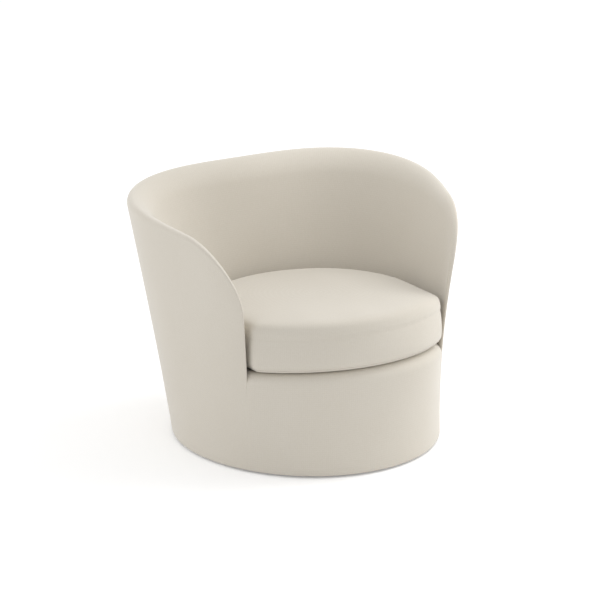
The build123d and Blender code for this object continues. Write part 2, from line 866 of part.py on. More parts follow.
def upper_plate():
    """Pressed steel plate bolted to the mounting board."""
    plate = upright_cylinder(plate_radius, upper_plate_foot, board_foot)
    plate -= upright_cylinder(pin_radius + bush_wall, upper_plate_foot, board_foot)
    for hole in ring_of(plate_bolt(), bolt_circle, bolt_count, bolt_start):
        plate -= hole
    return plate + race(upper_plate_foot, -1)


def plate_bolt():
    """Countersunk bolt up through the upper plate and the mounting board."""
    top = board_foot + board_thickness + tee_nut_thickness
    shank = upright_cylinder(bolt_radius, upper_plate_foot + bolt_head_height, top)
    head = Pos(0, 0, upper_plate_foot + bolt_head_height / 2) * Cone(
        bolt_head_radius, bolt_radius, bolt_head_height)
    return shank + head


def tee_nut():
    """Flanged nut on top of the mounting board."""
    top = board_foot + board_thickness
    flange = upright_cylinder(tee_nut_radius, top, top + tee_nut_thickness)
    barrel = upright_cylinder(bolt_radius + bush_wall, top - board_thickness / 2, top)
    return flange + barrel - upright_cylinder(bolt_radius, board_foot, top + tee_nut_thickness)


def balls():
    """Steel balls in the cage."""
    ball = Pos(0, 0, ball_level) * Sphere(ball_radius)
    return group(ring_of(ball, race_radius, ball_count))


def ball_cage():
    """Flat ring that keeps the balls apart."""
    low = ball_level - cage_thickness / 2
    high = ball_level + cage_thickness / 2
    cage = upright_cylinder(race_radius + cage_width / 2, low, high)
    cage -= upright_cylinder(race_radius - cage_width / 2, low, high)
    eye = upright_cylinder(ball_radius + ball_clearance, low, high)
    for hole in ring_of(eye, race_radius, ball_count):
        cage -= hole
    return cage


def pivot_pin():
    """Riveted pin on the lower plate that centres the upper one."""
    neck = board_foot + washer_thickness + fit_gap
    shank = upright_cylinder(pin_radius, plinth_top, neck)
    return shank + upright_cylinder(pin_head_radius, neck, neck + pin_head_height)


def pivot_washer():
    """Washer that rides on the pin under its head."""
    foot = board_foot + fit_gap
    washer = upright_cylinder(washer_radius, foot, foot + washer_thickness)
    return washer - upright_cylinder(pin_radius, foot, foot + washer_thickness)


def pivot_bush():
    """Nylon bush in the upper plate that turns round the pin."""
    bush = upright_cylinder(pin_radius + bush_wall, upper_plate_foot, board_foot)
    return bush - upright_cylinder(pin_radius + bush_clearance, upper_plate_foot, board_foot)


def board_screw_places():
    """Where the mounting board is screwed down to the bottom ring."""
    y = board_half_width - board_screw_inset
    x = sqrt((hem_side_radius - frame_inset - bottom_ring_width / 2) ** 2 - y ** 2)
    return [(side * x, row * y) for side in (-1, 1) for row in (-1, 1)]


def board_screw():
    """Countersunk wood screw, drawn with its head flush with the board."""
    top = board_foot + board_thickness
    neck = top - board_screw_head_radius / 2
    shank = upright_cylinder(board_screw_radius, top - board_screw_length, neck)
    head = Pos(0, 0, (neck + top) / 2) * Cone(board_screw_radius, board_screw_head_radius, top - neck)
    return shank + head


def board_screws():
    """Wood screws of the mounting board."""
    return group([Pos(x, y, 0) * board_screw() for x, y in board_screw_places()])


def mounting_board():
    """Plywood board across the bottom ring that carries the swivel."""
    board = Pos(0, 0, board_foot + board_thickness / 2) * Box(
        2 * board_half_length, 2 * board_half_width, board_thickness)
    board &= extrude(ring_face(board_foot, board_foot + board_thickness, frame_inset + fit_gap),
                     amount=board_thickness)
    board -= upright_cylinder(board_eye_radius, board_foot, board_foot + board_thickness)
    board -= board_screws()
    for hole in ring_of(tee_nut() + plate_bolt(), bolt_circle, bolt_count, bolt_start):
        board -= hole
    return board


def dust_cover():
    """Black cloth under the mounting board."""
    foot = board_foot - dust_cover_thickness - lay_gap
    face = ring_face(bottom_ring_foot, board_foot, frame_inset + bottom_ring_width + fit_gap)
    sheet = Pos(0, 0, foot - bottom_ring_foot) * extrude(face, amount=dust_cover_thickness)
    return sheet - upright_cylinder(plate_radius + fit_gap, foot, board_foot)


# Seat cushion, drawn flat on the tilted deck

cushion_half_width = well_half_width - cushion_gap
cushion_rear = well_back - cushion_back_gap
cushion_depth = cushion_rear - well_round_start
cushion_side_radius = cushion_depth * cushion_side_share
cushion_back_radius = ((cushion_half_width ** 2 - 2 * cushion_half_width * cushion_side_radius
                        + cushion_depth ** 2) / (2 * (cushion_depth - cushion_side_radius)))
cushion_front = outer_radius(0, deck_front_height) + cushion_front_overhang


def cushion_face(inset, scale_share, height):
    """Level face of the cushion: bowed front, rounded corners, straight sides, round back."""
    half = cushion_half_width - inset
    reach = cushion_front_radius - inset
    bow_y = cushion_front_radius - cushion_front
    corner_y = bow_y - sqrt(reach ** 2 - half ** 2)
    back = cushion_back_radius - inset
    side = cushion_side_radius - inset
    back_y = cushion_rear - cushion_back_radius
    turn = degrees(atan2(back_y - well_round_start, cushion_side_radius - cushion_half_width))
    with BuildLine() as line:
        ThreePointArc((-half, corner_y), (0, bow_y - reach), (half, corner_y))
        Line((half, corner_y), (half, well_round_start))
        CenterArc((half - side, well_round_start), side, 0, turn)
        CenterArc((0, back_y), back, turn, 180 - 2 * turn)
        CenterArc((side - half, well_round_start), side, 180 - turn, turn)
        Line((-half, well_round_start), (-half, corner_y))
    face = make_face(line.edges())
    corners = face.vertices().sort_by(Axis.Y)[:2]
    face = fillet(corners, cushion_corner_radius - inset)
    centre_y = (cushion_rear - cushion_front) / 2
    level = scale(Pos(0, -centre_y, 0) * face, by=scale_share)
    return Pos(0, centre_y + cushion_front - cushion_front_overhang, height) * level


def cushion_loft(inset, levels_now):
    """Ruled solid through level faces of the cushion, each with the share of the plan it keeps."""
    return loft([cushion_face(inset, keep, height) for height, keep in levels_now], ruled=True)


def crown_levels(inset):
    """Heights of the domed top, above the top seam."""
    rise = cushion_edge_height + cushion_crown - inset - cushion_seam_high
    return [(cushion_seam_high + rise * up, keep) for up, keep in cushion_crown_shares]


def box_levels():
    """Heights of the boxed sides, fullest at half height and drawn in at the seams."""
    rise = cushion_seam_high - cushion_seam_low
    return [(cushion_seam_low + rise * up, keep) for up, keep in cushion_side_shares]


def foot_levels(inset):
    """Heights of the bottom, rounded under to the deck."""
    rise = cushion_seam_low - rest_gap - inset
    return [(rest_gap + inset + rise * up, keep) for up, keep in cushion_foot_shares]


def cushion_block(inset):
    """Whole cushion drawn in by the inset."""
    return cushion_loft(inset, foot_levels(inset) + box_levels()[1:-1] + crown_levels(inset))


def zip_axis_y():
    """Centre of the round back, on the tilted deck."""
    return cushion_rear - cushion_back_radius + cushion_front - cushion_front_overhang


def zip_band(inner, outer, height, half_turn):
    """Strip round the back of the cushion at half the height of the boxing."""
    middle = (cushion_seam_low + cushion_seam_high) / 2
    ring = Cylinder(outer, height) - Cylinder(inner, height)
    reach = 2 * outer
    left = (reach * cos(radians(90 + half_turn)), reach * sin(radians(90 + half_turn)))
    right = (-left[0], left[1])
    wedge = extrude(make_face(Polyline((0, 0), right, (0, 2 * reach), left, (0, 0))), amount=height / 2,
                    both=True)
    return Pos(0, zip_axis_y(), middle) * (ring & wedge)


def zip_tape():
    """Zip tape with its closed coil."""
    face = cushion_back_radius - fit_gap
    tape = zip_band(face - zip_tape_thickness, face, zip_tape_height, zip_half_angle)
    coil = zip_band(face, face + zip_coil_proud, zip_coil_height, zip_half_angle)
    return seat_place() * (tape + coil)


def zip_slider():
    """Slider that runs on the coil, drawn at the closed end."""
    face = cushion_back_radius - fit_gap
    half = degrees(zip_slider_length / 2 / face)
    body = zip_band(face + fit_gap, face + zip_slider_depth, zip_slider_height, half)
    channel = zip_band(face, face + zip_slider_depth - zip_slider_wall, zip_coil_height + 2 * fit_gap,
                       2 * half)
    centre = Pos(0, zip_axis_y(), 0)
    closed = Rot(0, 0, zip_half_angle - 2 * half)
    return seat_place() * centre * closed * Pos(0, -zip_axis_y(), 0) * (body - channel)


def cushion_pieces():
    """Core, wrap and cover panels of the cushion."""
    skin = cushion_cover_thickness
    slot = zip_band(cushion_back_radius - 4 * skin, cushion_back_radius + 4 * skin,
                    zip_tape_height + fit_gap, zip_half_angle + fit_gap)
    boxing = cushion_loft(0, box_levels()) - cushion_loft(skin, box_levels())
    reach = cushion_front_radius + cushion_rear
    split_y = zip_axis_y() + cushion_back_radius * cos(radians(zip_half_angle + zip_boxing_overlap))
    rear = Pos(0, split_y + reach / 2, 0) * Box(2 * reach, reach, 2 * reach)
    wrap = cushion_block(skin + lay_gap) - cushion_block(skin + cushion_wrap_thickness)
    pieces = {
        "cushion_core": cushion_block(skin + cushion_wrap_thickness + lay_gap),
        "cushion_wrap": wrap,
        "cushion_top_panel": cushion_loft(0, crown_levels(0)) - cushion_loft(skin, crown_levels(skin)),
        "cushion_bottom_panel": cushion_loft(0, foot_levels(0)) - cushion_loft(skin, foot_levels(skin)),
        "cushion_front_boxing": boxing - rear,
        "cushion_zip_boxing": (boxing & rear) - slot,
    }
    return {name: seat_place() * shape for name, shape in pieces.items()}


room = deck_corner_room()
arm = arm_foam()
nose = nose_pad()
facing = nose_facing()
toe = toe_panel()
arm_rail = rail(rail_nose_azimuth, rail_joint_azimuth)
top_rail = rail(rail_joint_azimuth, 360 - rail_joint_azimuth)
screw = plinth_screw(0)
nodes = {
    "glides": glides(),
    "plinth_board": plinth_board(),
    "plinth_screws": group(ring_of(screw, bolt_circle, plinth_screw_count, plinth_screw_start)),
    "lower_swivel_plate": lower_plate(),
    "pivot_pin": pivot_pin(),
    "pivot_washer": pivot_washer(),
    "bearing_balls": balls(),
    "ball_cage": ball_cage(),
    "upper_swivel_plate": upper_plate(),
    "pivot_bush": pivot_bush(),
    "plate_bolts": group(ring_of(plate_bolt(), bolt_circle, bolt_count, bolt_start)),
    "tee_nuts": group(ring_of(tee_nut(), bolt_circle, bolt_count, bolt_start)),
    "mounting_board": mounting_board(),
    "board_screws": board_screws(),
    "dust_cover": dust_cover(),
    "bottom_ring": bottom_ring() - board_screws(),
    "posts": posts(),
    "seat_ring": seat_ring(),
    "front_spring_rail": front_rail(),
    "back_spring_rail": back_rail(),
    "seat_springs": seat_springs(),
    "spring_clips": spring_clips(),
    "tie_wires": tie_wires(),
    "hessian": hessian(),
    "deck_pad": deck_pad(room),
    "deck_cover": deck_cover(room),
    "uprights": uprights() - arm_rail - mirrored(arm_rail) - top_rail,
    "arm_rail_left": arm_rail,
    "arm_rail_right": mirrored(arm_rail),
    "back_rail": top_rail,
    "back_webbing": webbing(),
    "side_panel": side_panel(),
    "arm_toe_panel_left": toe,
    "arm_toe_panel_right": mirrored(toe),
    "front_panel": front_panel(),
    "front_border_pad": front_border_pad(),
    "front_border_cover": front_border_cover(),
    "outside_wadding": outside_wadding(),
    "outside_cover": outside_cover(),
    "inside_cover": inside_cover(),
    "arm_nose_pad_left": nose,
    "arm_nose_pad_right": mirrored(nose),
    "arm_nose_facing_left": facing,
    "arm_nose_facing_right": mirrored(facing),
    "arm_foam_left": arm,
    "arm_foam_right": mirrored(arm),
    "back_foam": back_foam(),
    "zip_tape": zip_tape(),
    "zip_slider": zip_slider(),
}
nodes.update(cushion_pieces())
for name, shape in nodes.items():
    save(shape, name)
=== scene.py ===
import math

import bpy
import numpy as np
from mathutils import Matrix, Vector


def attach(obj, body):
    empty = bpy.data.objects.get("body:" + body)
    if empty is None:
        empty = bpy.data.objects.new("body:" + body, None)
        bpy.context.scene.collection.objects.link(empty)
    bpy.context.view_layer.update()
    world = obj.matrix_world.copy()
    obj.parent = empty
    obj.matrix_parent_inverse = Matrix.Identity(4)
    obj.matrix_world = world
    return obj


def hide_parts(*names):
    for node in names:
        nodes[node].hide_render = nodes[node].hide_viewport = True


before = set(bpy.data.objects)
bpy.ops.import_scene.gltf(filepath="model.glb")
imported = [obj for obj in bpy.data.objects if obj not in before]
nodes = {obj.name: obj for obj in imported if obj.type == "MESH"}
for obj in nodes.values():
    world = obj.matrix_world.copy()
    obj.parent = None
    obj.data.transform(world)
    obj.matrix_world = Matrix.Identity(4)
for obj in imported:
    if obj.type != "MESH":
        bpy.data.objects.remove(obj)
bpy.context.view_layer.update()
bpy.ops.object.select_all(action="DESELECT")

# Swivel base
# A round plywood board on nylon glides that stands still, with the lower steel plate of the swivel
# screwed on top and the pivot pin riveted through its middle.


def colour(code):
    """Linear colour from a hex code as it is seen on screen."""
    parts = [int(code[place:place + 2], 16) / 255 for place in (1, 3, 5)]
    return [c / 12.92 if c <= 0.04045 else ((c + 0.055) / 1.055) ** 2.4 for c in parts] + [1.0]


def node(owner, kind, settings=(), links=()):
    """Adds a node, sets its values and links its inputs."""
    made = owner.node_tree.nodes.new(kind)
    for key, value in dict(settings).items():
        if isinstance(key, str) and key not in made.inputs:
            setattr(made, key, value)
        else:
            made.inputs[key].default_value = value
    for key, source in dict(links).items():
        owner.node_tree.links.new(source, made.inputs[key])
    return made


def material(name, code, rough, metallic=0.0, sheen=0.0):
    """A material with its base colour, roughness, metal and sheen on the shader itself."""
    made = bpy.data.materials.new(name)
    made.use_nodes = True
    shader = made.node_tree.nodes["Principled BSDF"]
    shader.inputs["Base Color"].default_value = colour(code)
    shader.inputs["Roughness"].default_value = rough
    shader.inputs["Metallic"].default_value = metallic
    shader.inputs["Sheen Weight"].default_value = sheen
    shader.inputs["Sheen Roughness"].default_value = 0.4
    return made


def tint(made, dark, light, factor):
    """Colours the shader between two codes by a factor."""
    mix = node(made, "ShaderNodeMix", {"data_type": "RGBA"})
    made.node_tree.links.new(factor, mix.inputs[0])
    mix.inputs[6].default_value = colour(dark)
    mix.inputs[7].default_value = colour(light)
    shader = made.node_tree.nodes["Principled BSDF"]
    made.node_tree.links.new(mix.outputs[2], shader.inputs["Base Color"])


def bump(made, height, depth_mm, strength=1.0):
    """Raises the surface by a height, in millimetres."""
    lift = node(made, "ShaderNodeBump", {"Distance": depth_mm / 1000, "Strength": strength},
                {"Height": height})
    shader = made.node_tree.nodes["Principled BSDF"]
    made.node_tree.links.new(lift.outputs["Normal"], shader.inputs["Normal"])


def wood(name, dark, light, grain_mm, ring_mm):
    """Sawn and sanded wood: fine grain, 17 times as long as it is wide, and slow bands of colour."""
    made = material(name, light, 0.62)
    place = node(made, "ShaderNodeTexCoord")
    along, across = 60 / grain_mm, 1000 / grain_mm
    stretch = node(made, "ShaderNodeMapping", {"Scale": (along, across, across)},
                   {"Vector": place.outputs["Object"]})
    grain = node(made, "ShaderNodeTexNoise", {"Scale": 1.0, "Detail": 6.0, "Roughness": 0.6},
                 {"Vector": stretch.outputs[0]})
    bands = node(made, "ShaderNodeTexNoise", {"Scale": 1000 / ring_mm, "Detail": 2.0},
                 {"Vector": place.outputs["Object"]})
    both = node(made, "ShaderNodeMath", {"operation": "MULTIPLY"},
                {0: grain.outputs["Fac"], 1: bands.outputs["Fac"]})
    ramp = node(made, "ShaderNodeMapRange", {"From Min": 0.12, "From Max": 0.42}, {"Value": both.outputs[0]})
    tint(made, dark, light, ramp.outputs[0])
    bump(made, grain.outputs["Fac"], 0.15)
    return made


def metal(name, code, rough, mark_mm):
    """Plated or drawn metal: its handling marks make cloudy patches in the gloss."""
    made = material(name, code, rough, 1.0)
    place = node(made, "ShaderNodeTexCoord")
    marks = node(made, "ShaderNodeTexNoise", {"Scale": 1000 / mark_mm, "Detail": 5.0},
                 {"Vector": place.outputs["Object"]})
    gloss = node(made, "ShaderNodeMapRange", {"To Min": rough - 0.08, "To Max": rough + 0.12},
                 {"Value": marks.outputs["Fac"]})
    shader = made.node_tree.nodes["Principled BSDF"]
    made.node_tree.links.new(gloss.outputs[0], shader.inputs["Roughness"])
    bump(made, marks.outputs["Fac"], 0.02)
    return made


def plastic(name, code, rough, grain_mm):
    """Moulded plastic: a fine spark-eroded grain keeps its highlights soft."""
    made = material(name, code, rough)
    place = node(made, "ShaderNodeTexCoord")
    grain = node(made, "ShaderNodeTexNoise", {"Scale": 1000 / grain_mm, "Detail": 3.0},
                 {"Vector": place.outputs["Object"]})
    bump(made, grain.outputs["Fac"], 0.05)
    return made


def wear(names, made):
    """Gives CAD nodes a material."""
    for name in names:
        for slot in nodes[name].material_slots:
            slot.material = made


# Rotary-cut birch looks pale with fine grain, bright zinc plating looks pale grey and half mirrored,
# and moulded nylon looks even and half matt.
birch = wood("birch_plywood", "#B48F5E", "#D9BC8C", 1.6, 60.0)
zinc = metal("zinc_plated_steel", "#BFC2C3", 0.34, 9.0)
black_nylon = plastic("black_nylon", "#1D1D1D", 0.5, 0.6)
wear(["plinth_board"], birch)
wear(["lower_swivel_plate", "pivot_pin", "pivot_washer", "plinth_screws"], zinc)
wear(["glides"], black_nylon)

# Ball ring
# Steel balls in a flat nylon cage between the two races. The cage is moulded in one piece, and the
# balls snap into its pockets.

# Ground and polished balls look like small mirrors, and uncoloured nylon looks waxy and cream.
bearing_steel = metal("bearing_steel", "#D5D8DA", 0.12, 2.0)
nylon = plastic("natural_nylon", "#E6E2D4", 0.42, 0.8)
wear(["bearing_balls"], bearing_steel)
wear(["ball_cage", "pivot_bush"], nylon)

# Chair frame
# Plywood rings, hardwood posts and curved rails, glued and screwed together, with thin fibreboard
# wrapped round them to carry the padding.


def fibreboard_material():
    """Pressed board: short dark fibres give a mottled brown face."""
    made = material("pressed_fibreboard", "#8E6E4C", 0.8)
    place = node(made, "ShaderNodeTexCoord")
    fibres = node(made, "ShaderNodeTexNoise", {"Scale": 1000 / 3.0, "Detail": 8.0, "Roughness": 0.7},
                  {"Vector": place.outputs["Object"]})
    tint(made, "#6F5336", "#A98762", fibres.outputs["Fac"])
    bump(made, fibres.outputs["Fac"], 0.2)
    return made


# Sawn beech looks browner than the birch, with coarser grain.
hardwood = wood("beech_hardwood", "#9C744A", "#C79D6B", 2.4, 35.0)
fibreboard = fibreboard_material()
wear(["bottom_ring", "seat_ring", "mounting_board", "arm_rail_left", "arm_rail_right", "back_rail"], birch)
wear(["posts", "uprights", "front_spring_rail", "back_spring_rail"], hardwood)
wear(["side_panel", "front_panel", "arm_toe_panel_left", "arm_toe_panel_right"], fibreboard)
wear(["upper_swivel_plate", "plate_bolts", "tee_nuts", "board_screws"], zinc)

# Springs and webbing
# Zigzag steel springs in clips under the seat, tied side by side, with hessian over them, and elastic
# straps behind the back.


def woven_material(name, dark, light, thread_mm, rough, depth_mm):
    """Coarse plain weave: raised threads with painted shade in the gaps between them, laid flat from above.

    Its bands are 2 pi times as wide as the real thread, as coarse as they need to be to show."""
    made = material(name, light, rough)
    place = node(made, "ShaderNodeTexCoord")
    turns = []
    for direction in ("X", "Y"):
        turns.append(node(made, "ShaderNodeTexWave",
                          {"bands_direction": direction, "Scale": 1000 / thread_mm / 20, "Distortion": 0.6,
                           "Detail": 1.0}, {"Vector": place.outputs["Object"]}))
    both = node(made, "ShaderNodeMath", {"operation": "MULTIPLY"},
                {0: turns[0].outputs["Fac"], 1: turns[1].outputs["Fac"]})
    # The low gaps between the threads take the dark colour: painted shade.
    tint(made, dark, light, both.outputs[0])
    bump(made, both.outputs[0], depth_mm)
    return made


# Drawn steel wire dipped in oil looks dark grey and greasy, rubber-cored webbing nearly black, and jute
# brown and hairy.
spring_steel = metal("oiled_spring_steel", "#6E7072", 0.38, 14.0)
webbing_cloth = woven_material("elastic_webbing", "#1F1E1D", "#4B4844", 2.5, 0.9, 0.4)
jute = woven_material("jute_hessian", "#7A5E38", "#B2935F", 2.2, 0.95, 0.5)
wear(["seat_springs", "tie_wires"], spring_steel)
wear(["spring_clips"], zinc)
wear(["back_webbing"], webbing_cloth)
wear(["hessian"], jute)

# Cover of arms and back
# One skin of woven polyester pulled tight over wadding and foam: up the outside, over the thin
# noses and the fuller roll of the back, and down the inside to the deck. Its hem is turned under.
# An azimuth is an angle about Z in degrees, 0 at the front and 180 at the back. Sizes are in mm.

# The cover's noses end at this azimuth. Each level is a height over the floor and the outside's radius
# at the azimuths 0, 45, 90, 135 and 180.
nose_azimuth = 51.5
levels = ((6.0, (381.0, 369.0, 362.0, 376.0, 381.0)), (344.0, (393.0, 388.0, 382.0, 447.0, 425.0)),
          (662.0, (451.0, 444.0, 425.0, 509.0, 450.0)))
# The deck's height at its front edge, and its fall towards the back in degrees.
deck_front, seat_pitch = 303.0, 5.7
# The well's half width, the y of its back and of where that starts to curve, and the height where its
# walls start to lean out.
well_half, well_back, well_round, well_foot = 287.0, 272.0, -60.0, 250.0
# The roll at the noses and at the middle of the back, and the line of its top.
nose_thickness, back_thickness = 12.0, 74.0
rim_back, rim_slope, rim_rise, shoulder_radius = 666.0, 0.04, 0.32, 190.0
# Height and inset of each row of the turned hem, from its hidden edge out to the face.
hem_fold = ((6.0, 16.0), (6.0, 3.0), (7.0, 0.8), (10.0, 0.0))
hem_top = hem_fold[-1][0]
cloth_thickness = 1.6
# How far the noses reach down beside the border, and the inside down past the deck.
nose_foot_drop, deck_tuck, tuck_least = 32.0, 14.0, 3.0
# The roll's outer quarter, its inner one and where its crest lies between them.
edge_share, edge_growth, edge_most = 0.32, 0.9, 34.0
fall_share, fall_most, roll_spare = 0.95, 55.0, 6.0
crest_nose, crest_growth = 0.3, 0.14
# Columns near a nose climb late, so that the panel keeps its corner.
corner_lag, corner_width = 9, 0.02
half_columns, rows_out, rows_edge, rows_fall, rows_in = 130, 44, 9, 15, 34
turn_samples, rise_samples = 1500, 300


def outer_radius(azimuth, height):
    """Radius of the outside in millimetres: a closed cosine curve at three heights, joined by parabolas."""
    angle = np.radians(azimuth)
    total = 0
    heights = [level for level, radii in levels]
    for level, radii in levels:
        weight = 1
        for other in heights:
            if other != level:
                weight = weight * (height - other) / (level - other)
        curve = 0
        for order in range(5):
            part = sum((0.5 if place in (0, 4) else 1) * radius * math.cos(math.pi * order * place / 4)
                       for place, radius in enumerate(radii))
            curve = curve + (0.5 if order in (0, 4) else 1) * part * np.cos(order * angle) / 2
        total = total + weight * curve
    return total


def well_radius(azimuth):
    """Radius of the seat well: straight sides and a half-elliptical back."""
    angle = np.radians(azimuth)
    across = np.maximum(np.abs(np.sin(angle)), 0.01)
    along = -np.cos(angle)
    side = well_half / across
    depth = well_back - well_round
    a = (across / well_half) ** 2 + (along / depth) ** 2
    b = -2 * along * well_round / depth ** 2
    c = (well_round / depth) ** 2 - 1
    bowl = (np.sqrt(np.maximum(b * b - 4 * a * c, 0)) - b) / (2 * a)
    return np.where(side * along <= well_round, side, bowl)


def rim_height(azimuth):
    """Top of the rim over the floor."""
    back_y = outer_radius(180.0, 344.0)
    nose_y = -outer_radius(nose_azimuth, 344.0) * math.cos(math.radians(nose_azimuth))
    y = -outer_radius(azimuth, 344.0) * np.cos(np.radians(azimuth))
    stretch = math.sqrt(1 + rim_slope ** 2)
    centre_y = nose_y + shoulder_radius
    centre_z = rim_back - rim_slope * (back_y - centre_y) - shoulder_radius * stretch
    line = rim_back - rim_slope * (back_y - y)
    arc = centre_z + np.sqrt(np.maximum(shoulder_radius ** 2 - (y - centre_y) ** 2, 0))
    return np.where(y > centre_y - shoulder_radius * rim_slope / stretch, line, arc)


def rim_thickness(azimuth):
    """Thickness of the roll, thin at the nose and full at the back."""
    share = np.clip((azimuth - nose_azimuth) / (180 - nose_azimuth), 0, 1)
    return nose_thickness + (back_thickness - nose_thickness) * np.sin(np.pi / 2 * share)


def inner_radius(azimuth, height):
    """Radius of the inside face: upright in the well and leaning out to the roll above it."""
    thick = rim_thickness(azimuth)
    shoulder = rim_height(azimuth) - rim_rise * thick
    brow = outer_radius(azimuth, shoulder) - thick
    share = np.clip((height - well_foot) / (shoulder - well_foot), 0, 1.2)
    return well_radius(azimuth) + (brow - well_radius(azimuth)) * share


def deck_height(y):
    """Height of the deck, which falls towards the back."""
    return deck_front - math.tan(math.radians(seat_pitch)) * (y + outer_radius(0.0, deck_front))


def spots(azimuth, radius, height):
    """Points in metres from azimuth, radius and height in millimetres."""
    angle = np.radians(azimuth)
    return np.stack([radius * np.sin(angle), -radius * np.cos(angle), height + 0 * radius], -1) / 1000


def sewn_panel(name, points, size):
    """A panel of cloth: a fine grid laid over a table of points, columns by rows.

    Its map has the size in metres that the cloth is cut to."""
    columns, rows = points.shape[:2]
    bpy.ops.mesh.primitive_grid_add(x_subdivisions=columns - 1, y_subdivisions=rows - 1, size=1,
                                    calc_uvs=True, location=(0, 0, 0))
    piece = bpy.context.object
    piece.name = name
    piece.data.name = name
    uv = piece.data.uv_layers[0].data
    flat = np.zeros(len(uv) * 2)
    uv.foreach_get("uv", flat)
    flat = flat.reshape(-1, 2) * np.array(size)
    uv.foreach_set("uv", flat.ravel())
    flat = np.zeros(len(piece.data.vertices) * 3)
    piece.data.vertices.foreach_get("co", flat)
    flat = flat.reshape(-1, 3)
    i = np.rint((flat[:, 0] + 0.5) * (columns - 1)).astype(int)
    j = np.rint((flat[:, 1] + 0.5) * (rows - 1)).astype(int)
    piece.data.vertices.foreach_set("co", points[i, j].ravel())
    piece.data.update()
    return piece


def thicken(piece, thickness_mm):
    """Gives the cloth its thickness, inwards, and closes its edges."""
    made = piece.modifiers.new("cloth", "SOLIDIFY")
    made.thickness = thickness_mm / 1000
    made.offset = -1.0
    bpy.ops.object.modifier_apply(modifier=made.name)


def smooth(piece):
    """Smooth shading with outward normals."""
    bpy.ops.object.mode_set(mode="EDIT")
    bpy.ops.mesh.select_all(action="SELECT")
    bpy.ops.mesh.normals_make_consistent(inside=False)
    bpy.ops.object.mode_set(mode="OBJECT")
    bpy.ops.object.shade_smooth()


def crisp_edges(piece):
    """Keeps the cut edges of thickened cloth crisp and the rest smooth."""
    bpy.ops.object.select_all(action="DESELECT")
    piece.select_set(True)
    bpy.context.view_layer.objects.active = piece
    bpy.ops.object.shade_smooth_by_angle(angle=math.radians(50))


def rim_line(count):
    """Azimuths and heights along the rim, evenly spaced from the foot of a nose to the back."""
    low = deck_height(-outer_radius(nose_azimuth, deck_front) * math.cos(math.radians(nose_azimuth)))
    low -= nose_foot_drop
    rise = np.linspace(low, rim_height(nose_azimuth), rise_samples + 1)[:-1]
    turn = nose_azimuth + (180 - nose_azimuth) * np.linspace(0, 1, turn_samples) ** 2
    azimuth = np.concatenate([np.full(rise_samples, nose_azimuth), turn])
    height = np.concatenate([rise, rim_height(turn)])
    radius = outer_radius(azimuth, height)
    points = spots(azimuth, radius, height)
    run = np.concatenate([[0], np.cumsum(np.linalg.norm(np.diff(points, axis=0), axis=1))])
    even = np.linspace(0, run[-1], count)
    return np.interp(even, run, azimuth), np.interp(even, run, height)


def tub_points(count):
    """Points of the cover, from the turned hem outside, over the rim, to the deck inside."""
    azimuth, height = rim_line(count)
    radius = outer_radius(azimuth, height)
    du = np.gradient(np.radians(azimuth)) * radius
    dz = np.gradient(height)
    length = np.hypot(du, dz)
    nu, nz = -dz / length, du / length
    thick = outer_radius(azimuth, height) - inner_radius(azimuth, height)
    thick = np.minimum(thick, rim_thickness(azimuth) + roll_spare)
    back = np.clip((azimuth - nose_azimuth) / (180 - nose_azimuth), 0, 1)
    edge = np.minimum(edge_share * thick * (1 + edge_growth * back), edge_most)
    fall = np.minimum(fall_share * thick, fall_most)
    q_azimuth = azimuth - np.degrees(nu * edge / radius)
    q_height = height - nz * edge
    r_azimuth = azimuth - np.degrees(nu * fall / radius)
    r_height = height - nz * fall
    share = np.linspace(0, 1, count)
    foot_azimuth = nose_azimuth + (180 - nose_azimuth) * share
    columns = []
    for low, tuck in hem_fold:
        columns.append(spots(foot_azimuth, outer_radius(foot_azimuth, low) - tuck, low))
    for step in np.linspace(0, 1, rows_out)[1:]:
        lag = step ** (1 + corner_lag * np.exp(-share / corner_width))
        a = foot_azimuth + (q_azimuth - foot_azimuth) * lag
        z = hem_top + (q_height - hem_top) * step
        columns.append(spots(a, outer_radius(a, z), z))
    out_q = spots(q_azimuth, outer_radius(q_azimuth, q_height), q_height)
    in_r = spots(r_azimuth, inner_radius(r_azimuth, r_height), r_height)
    a_up, z_up = q_azimuth + np.degrees(nu / radius), q_height + nz
    b_up, y_up = r_azimuth + np.degrees(nu / radius), r_height + nz
    n_out = spots(a_up, outer_radius(a_up, z_up), z_up) - out_q
    n_in = spots(b_up, inner_radius(b_up, y_up), y_up) - in_r
    n_out /= np.linalg.norm(n_out, axis=1)[:, None]
    n_in /= np.linalg.norm(n_in, axis=1)[:, None]
    crest_share = (crest_nose + crest_growth * back)[:, None]
    crest = (out_q + n_out * (edge / 1000)[:, None]) * (1 - crest_share) + crest_share * (
        in_r + n_in * (fall / 1000)[:, None])
    for turn in np.linspace(0, 90, rows_edge)[1:]:
        up, over = math.sin(math.radians(turn)), 1 - math.cos(math.radians(turn))
        columns.append(out_q + n_out * (up * edge / 1000)[:, None]
                       + (crest - out_q - n_out * (edge / 1000)[:, None]) * over)
    for turn in np.linspace(0, 90, rows_fall)[1:]:
        down, over = 1 - math.cos(math.radians(turn)), math.sin(math.radians(turn))
        columns.append(crest + (in_r + n_in * (fall / 1000)[:, None] - crest) * over
                       - n_in * (down * fall / 1000)[:, None])
    foot_radius = well_radius(foot_azimuth)
    foot_height = deck_height(-foot_radius * np.cos(np.radians(foot_azimuth))) - deck_tuck
    foot_height = np.minimum(foot_height, r_height - tuck_least)
    for step in np.linspace(0, 1, rows_in)[1:]:
        a = r_azimuth + (foot_azimuth - r_azimuth) * step
        z = r_height + (foot_height - r_height) * step
        columns.append(spots(a, inner_radius(a, z), z))
    half = np.stack(columns, 1)
    other = half[::-1].copy()[1:]
    other[..., 0] *= -1
    return np.concatenate([half, other], 0)


